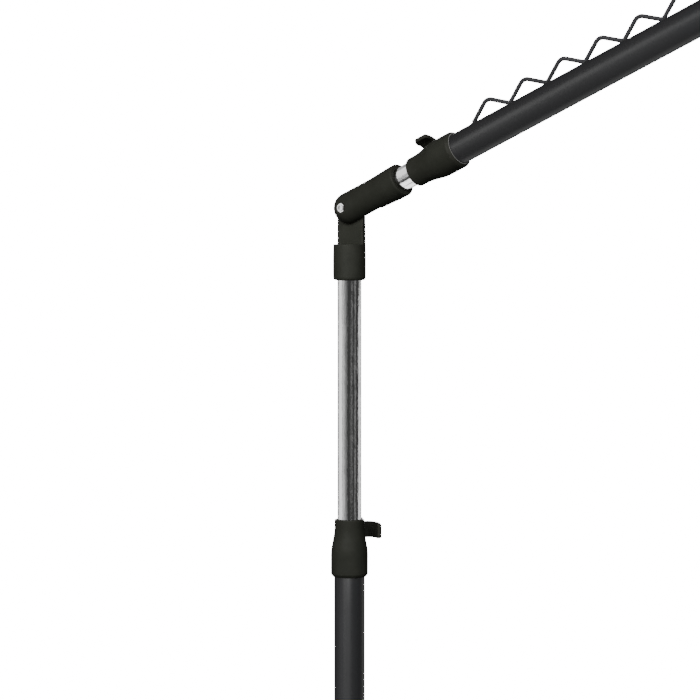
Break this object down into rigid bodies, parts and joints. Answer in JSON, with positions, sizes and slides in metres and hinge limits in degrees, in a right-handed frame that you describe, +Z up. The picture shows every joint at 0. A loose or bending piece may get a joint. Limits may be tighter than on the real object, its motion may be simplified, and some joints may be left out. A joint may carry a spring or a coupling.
{
  "type": "telescopic lighting stand",
  "caption": "Telescopic lighting stand with bent swinging legs, chromed riser, half-lap tilting elbow and sliding tube boom with a zigzag hanging wire.",
  "frame": {"origin": "on the floor, on the column's axis", "axes": "+Z up along the column; the boom rises over the front leg toward +X at rest; the elbow's pivot lies along Y"},
  "size_m": [1.1305, 0.7822, 1.6368],
  "materials": {
    "painted_tube": "satin powder coat, charcoal",
    "painted_wire": "satin powder coat, charcoal",
    "painted_base": "satin powder coat, charcoal",
    "black_plastic": "satin moulded plastic",
    "black_rubber": "matt",
    "chrome_tube": "bright, faint drawing lines",
    "bright_rivet": "bright, dimpled",
    "zinc_steel": "zinc plated",
    "nylon": "natural nylon",
    "shoe_rubber": "matt"
  },
  "bodies": {
    "base": {"column_tube": "painted_tube", "column_foot_plug": "black_rubber", "leg_ring_front": "painted_base", "leg_front": "painted_base", "foot_front": "black_rubber", "leg_clamp_collar": "painted_base", "column_collar": "black_plastic", "column_bush": "nylon", "column_brake_shoe": "shoe_rubber", "column_lever_pin": "zinc_steel"},
    "left_leg": {"leg_ring_left": "painted_base", "leg_left": "painted_base", "foot_left": "black_rubber"},
    "right_leg": {"leg_ring_right": "painted_base", "leg_right": "painted_base", "foot_right": "black_rubber"},
    "clamp_handle": {"leg_clamp_handle": "zinc_steel"},
    "column_lever": {"column_lever": "black_plastic"},
    "riser_guide": {"riser_guide_plug": "nylon"},
    "riser": {"riser_tube": "chrome_tube", "elbow_lower": "black_plastic", "riser_screw": "zinc_steel", "elbow_rivet": "bright_rivet", "elbow_washer": "nylon"},
    "boom_root": {"elbow_upper": "black_plastic", "boom_screw": "zinc_steel", "boom_inner_tube": "chrome_tube", "boom_inner_plug": "nylon"},
    "boom_guide": {"boom_bush": "nylon"},
    "boom": {"boom_tube": "painted_tube", "boom_wire": "painted_wire", "boom_end_plug": "black_rubber", "boom_spigot": "zinc_steel", "boom_collar": "black_plastic", "boom_brake_shoe": "shoe_rubber", "boom_lever_pin": "zinc_steel"},
    "boom_lever": {"boom_lever": "black_plastic"}
  },
  "joints": [
    {"name": "left_leg_swing", "type": "hinge", "parent": "base", "child": "left_leg", "pos_m": [0, 0, 0.096], "axis": [0, 0, 1], "range_deg": [-113, 0]},
    {"name": "right_leg_swing", "type": "hinge", "parent": "base", "child": "right_leg", "pos_m": [0, 0, 0.1265], "axis": [0, 0, 1], "range_deg": [0, 113]},
    {"name": "leg_clamp_turn", "type": "hinge", "parent": "base", "child": "clamp_handle", "pos_m": [-0.056, 0, 0.156], "axis": [-1, 0, 0], "range_deg": [0, 360]},
    {"name": "column_lever_throw", "type": "hinge", "parent": "base", "child": "column_lever", "pos_m": [-0.00544, 0.02261, 0.9135], "axis": [0, 0, 1], "range_deg": [0, 100]},
    {"name": "column_height", "type": "slide", "parent": "base", "child": "riser_guide", "axis": [0, 0, 1], "range_m": [-0.24, 0.35]},
    {"name": "column_swivel", "type": "hinge", "parent": "riser_guide", "child": "riser", "pos_m": [0, 0, 1], "axis": [0, 0, 1], "continuous": true},
    {"name": "elbow_tilt", "type": "hinge", "parent": "riser", "child": "boom_root", "pos_m": [0, 0, 1.25], "axis": [0, -1, 0], "range_deg": [-58, 182]},
    {"name": "boom_extend", "type": "slide", "parent": "boom_root", "child": "boom_guide", "axis": [0.9205, 0, 0.3907], "range_m": [-0.016, 0.3]},
    {"name": "boom_roll", "type": "hinge", "parent": "boom_guide", "child": "boom", "pos_m": [0, 0, 1.25], "axis": [0.9205, 0, 0.3907], "continuous": true},
    {"name": "boom_lever_throw", "type": "hinge", "parent": "boom", "child": "boom_lever", "pos_m": [0.09321, 0.021, 1.30043], "axis": [-0.9205, 0, -0.3907], "range_deg": [0, 100]}
  ]
}
